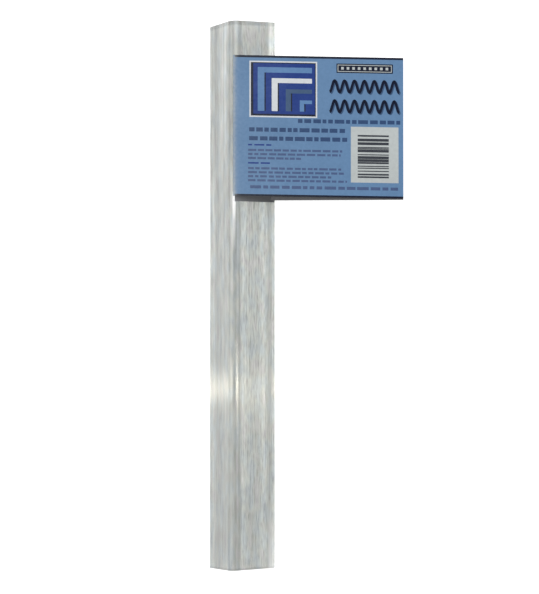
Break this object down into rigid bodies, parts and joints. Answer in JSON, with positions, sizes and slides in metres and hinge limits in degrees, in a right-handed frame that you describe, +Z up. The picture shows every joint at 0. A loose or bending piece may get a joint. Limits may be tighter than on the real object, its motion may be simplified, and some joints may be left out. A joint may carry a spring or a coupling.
{
  "type": "corner guard moulding",
  "caption": "Short length of clear plastic L-section moulding with a rounded nose, made to cover an outside wall corner, with a folded printed card glued to one leg.",
  "frame": {"origin": "on the floor under the nose, halfway along the moulding: the middle of the mouth that takes the wall's corner", "axes": "+Y along the moulding, +Z up out of the nose, +X towards the leg that carries the card"},
  "size_m": [0.0777, 0.2124, 0.0145],
  "materials": {
    "clear_plastic": "clear extruded plastic, glossy, with fine lengthwise draw lines",
    "printed_card": "coated card printed mid blue on its face, bare grey board underneath"
  },
  "bodies": {
    "root": {"corner_guard": "clear_plastic", "label_card": "printed_card"}
  },
  "joints": []
}
